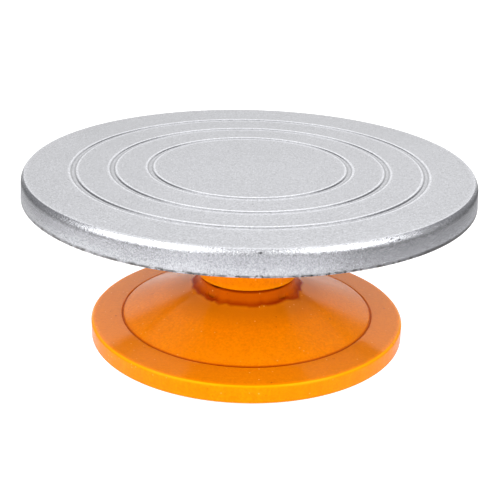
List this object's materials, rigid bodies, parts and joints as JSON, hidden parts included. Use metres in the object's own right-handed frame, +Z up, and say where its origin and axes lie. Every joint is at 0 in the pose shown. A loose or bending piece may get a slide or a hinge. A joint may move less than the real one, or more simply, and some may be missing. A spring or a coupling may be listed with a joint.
{
  "type": "cake turntable",
  "caption": "Round flat cast metal plate with shallow guide rings that spins on a low conical painted stand, for decorating a cake.",
  "frame": {"origin": "on the table, under the axis that the plate turns about, at the underside of the non-slip ring", "axes": "+Z up along the spindle to the plate's top face; +X to the right and +Y to the back, and the object is round so neither is special"},
  "size_m": [0.3076, 0.3076, 0.122],
  "materials": {
    "cast_aluminium": "cast aluminium with a fine matt silver sparkle",
    "orange_enamel": "thick glossy orange stoving enamel over a casting",
    "bearing_steel": "ground and polished bearing steel",
    "zinc_steel": "zinc-plated turned steel",
    "white_nylon": "moulded natural nylon",
    "brown_felt": "pressed wool felt",
    "black_rubber": "matt black rubber"
  },
  "bodies": {
    "stand": {"base_casting": "orange_enamel", "non_slip_ring": "black_rubber", "spindle": "zinc_steel", "base_washer": "zinc_steel", "base_nut": "zinc_steel", "lower_bearing_inner_race": "bearing_steel", "inner_race_spacer": "zinc_steel", "upper_bearing_inner_race": "bearing_steel", "top_washer": "zinc_steel", "top_lock_nut": "zinc_steel"},
    "turning_plate": {"turntable_plate": "cast_aluminium", "hub_housing": "orange_enamel", "hub_screw_1": "zinc_steel", "hub_screw_2": "zinc_steel", "hub_screw_3": "zinc_steel", "hub_screw_4": "zinc_steel", "bearing_retaining_ring": "zinc_steel", "felt_dust_seal": "brown_felt", "lower_bearing_outer_race": "bearing_steel", "lower_bearing_lower_shield": "bearing_steel", "lower_bearing_upper_shield": "bearing_steel", "upper_bearing_outer_race": "bearing_steel", "upper_bearing_lower_shield": "bearing_steel", "upper_bearing_upper_shield": "bearing_steel"},
    "lower_cage": {"lower_bearing_cage": "white_nylon"},
    "lower_ball_1": {"lower_bearing_ball_1": "bearing_steel"},
    "lower_ball_2": {"lower_bearing_ball_2": "bearing_steel"},
    "lower_ball_3": {"lower_bearing_ball_3": "bearing_steel"},
    "lower_ball_4": {"lower_bearing_ball_4": "bearing_steel"},
    "lower_ball_5": {"lower_bearing_ball_5": "bearing_steel"},
    "lower_ball_6": {"lower_bearing_ball_6": "bearing_steel"},
    "lower_ball_7": {"lower_bearing_ball_7": "bearing_steel"},
    "lower_ball_8": {"lower_bearing_ball_8": "bearing_steel"},
    "upper_cage": {"upper_bearing_cage": "white_nylon"},
    "upper_ball_1": {"upper_bearing_ball_1": "bearing_steel"},
    "upper_ball_2": {"upper_bearing_ball_2": "bearing_steel"},
    "upper_ball_3": {"upper_bearing_ball_3": "bearing_steel"},
    "upper_ball_4": {"upper_bearing_ball_4": "bearing_steel"},
    "upper_ball_5": {"upper_bearing_ball_5": "bearing_steel"},
    "upper_ball_6": {"upper_bearing_ball_6": "bearing_steel"},
    "upper_ball_7": {"upper_bearing_ball_7": "bearing_steel"},
    "upper_ball_8": {"upper_bearing_ball_8": "bearing_steel"}
  },
  "joints": [
    {"name": "plate_spin", "type": "hinge", "parent": "stand", "child": "turning_plate", "pos_m": [0, 0, 0.106], "axis": [0, 0, 1], "continuous": true},
    {"name": "lower_cage_orbit", "type": "hinge", "parent": "stand", "child": "lower_cage", "pos_m": [0, 0, 0.058], "axis": [0, 0, 1], "continuous": true},
    {"name": "lower_ball_1_roll", "type": "hinge", "parent": "lower_cage", "child": "lower_ball_1", "pos_m": [0.01425, 0, 0.058], "axis": [0, 0, 1], "continuous": true},
    {"name": "lower_ball_2_roll", "type": "hinge", "parent": "lower_cage", "child": "lower_ball_2", "pos_m": [0.01008, 0.01008, 0.058], "axis": [0, 0, 1], "continuous": true},
    {"name": "lower_ball_3_roll", "type": "hinge", "parent": "lower_cage", "child": "lower_ball_3", "pos_m": [0, 0.01425, 0.058], "axis": [0, 0, 1], "continuous": true},
    {"name": "lower_ball_4_roll", "type": "hinge", "parent": "lower_cage", "child": "lower_ball_4", "pos_m": [-0.01008, 0.01008, 0.058], "axis": [0, 0, 1], "continuous": true},
    {"name": "lower_ball_5_roll", "type": "hinge", "parent": "lower_cage", "child": "lower_ball_5", "pos_m": [-0.01425, 0, 0.058], "axis": [0, 0, 1], "continuous": true},
    {"name": "lower_ball_6_roll", "type": "hinge", "parent": "lower_cage", "child": "lower_ball_6", "pos_m": [-0.01008, -0.01008, 0.058], "axis": [0, 0, 1], "continuous": true},
    {"name": "lower_ball_7_roll", "type": "hinge", "parent": "lower_cage", "child": "lower_ball_7", "pos_m": [0, -0.01425, 0.058], "axis": [0, 0, 1], "continuous": true},
    {"name": "lower_ball_8_roll", "type": "hinge", "parent": "lower_cage", "child": "lower_ball_8", "pos_m": [0.01008, -0.01008, 0.058], "axis": [0, 0, 1], "continuous": true},
    {"name": "upper_cage_orbit", "type": "hinge", "parent": "stand", "child": "upper_cage", "pos_m": [0, 0, 0.09], "axis": [0, 0, 1], "continuous": true},
    {"name": "upper_ball_1_roll", "type": "hinge", "parent": "upper_cage", "child": "upper_ball_1", "pos_m": [0.01425, 0, 0.09], "axis": [0, 0, 1], "continuous": true},
    {"name": "upper_ball_2_roll", "type": "hinge", "parent": "upper_cage", "child": "upper_ball_2", "pos_m": [0.01008, 0.01008, 0.09], "axis": [0, 0, 1], "continuous": true},
    {"name": "upper_ball_3_roll", "type": "hinge", "parent": "upper_cage", "child": "upper_ball_3", "pos_m": [0, 0.01425, 0.09], "axis": [0, 0, 1], "continuous": true},
    {"name": "upper_ball_4_roll", "type": "hinge", "parent": "upper_cage", "child": "upper_ball_4", "pos_m": [-0.01008, 0.01008, 0.09], "axis": [0, 0, 1], "continuous": true},
    {"name": "upper_ball_5_roll", "type": "hinge", "parent": "upper_cage", "child": "upper_ball_5", "pos_m": [-0.01425, 0, 0.09], "axis": [0, 0, 1], "continuous": true},
    {"name": "upper_ball_6_roll", "type": "hinge", "parent": "upper_cage", "child": "upper_ball_6", "pos_m": [-0.01008, -0.01008, 0.09], "axis": [0, 0, 1], "continuous": true},
    {"name": "upper_ball_7_roll", "type": "hinge", "parent": "upper_cage", "child": "upper_ball_7", "pos_m": [0, -0.01425, 0.09], "axis": [0, 0, 1], "continuous": true},
    {"name": "upper_ball_8_roll", "type": "hinge", "parent": "upper_cage", "child": "upper_ball_8", "pos_m": [0.01008, -0.01008, 0.09], "axis": [0, 0, 1], "continuous": true}
  ],
  "couplings": [
    {"joint": "lower_cage_orbit", "follows": "plate_spin", "ratio": 0.6184},
    {"joint": "lower_ball_1_roll", "follows": "plate_spin", "ratio": 1.9935},
    {"joint": "lower_ball_2_roll", "follows": "plate_spin", "ratio": 1.9935},
    {"joint": "lower_ball_3_roll", "follows": "plate_spin", "ratio": 1.9935},
    {"joint": "lower_ball_4_roll", "follows": "plate_spin", "ratio": 1.9935},
    {"joint": "lower_ball_5_roll", "follows": "plate_spin", "ratio": 1.9935},
    {"joint": "lower_ball_6_roll", "follows": "plate_spin", "ratio": 1.9935},
    {"joint": "lower_ball_7_roll", "follows": "plate_spin", "ratio": 1.9935},
    {"joint": "lower_ball_8_roll", "follows": "plate_spin", "ratio": 1.9935},
    {"joint": "upper_cage_orbit", "follows": "plate_spin", "ratio": 0.6184},
    {"joint": "upper_ball_1_roll", "follows": "plate_spin", "ratio": 1.9935},
    {"joint": "upper_ball_2_roll", "follows": "plate_spin", "ratio": 1.9935},
    {"joint": "upper_ball_3_roll", "follows": "plate_spin", "ratio": 1.9935},
    {"joint": "upper_ball_4_roll", "follows": "plate_spin", "ratio": 1.9935},
    {"joint": "upper_ball_5_roll", "follows": "plate_spin", "ratio": 1.9935},
    {"joint": "upper_ball_6_roll", "follows": "plate_spin", "ratio": 1.9935},
    {"joint": "upper_ball_7_roll", "follows": "plate_spin", "ratio": 1.9935},
    {"joint": "upper_ball_8_roll", "follows": "plate_spin", "ratio": 1.9935}
  ]
}
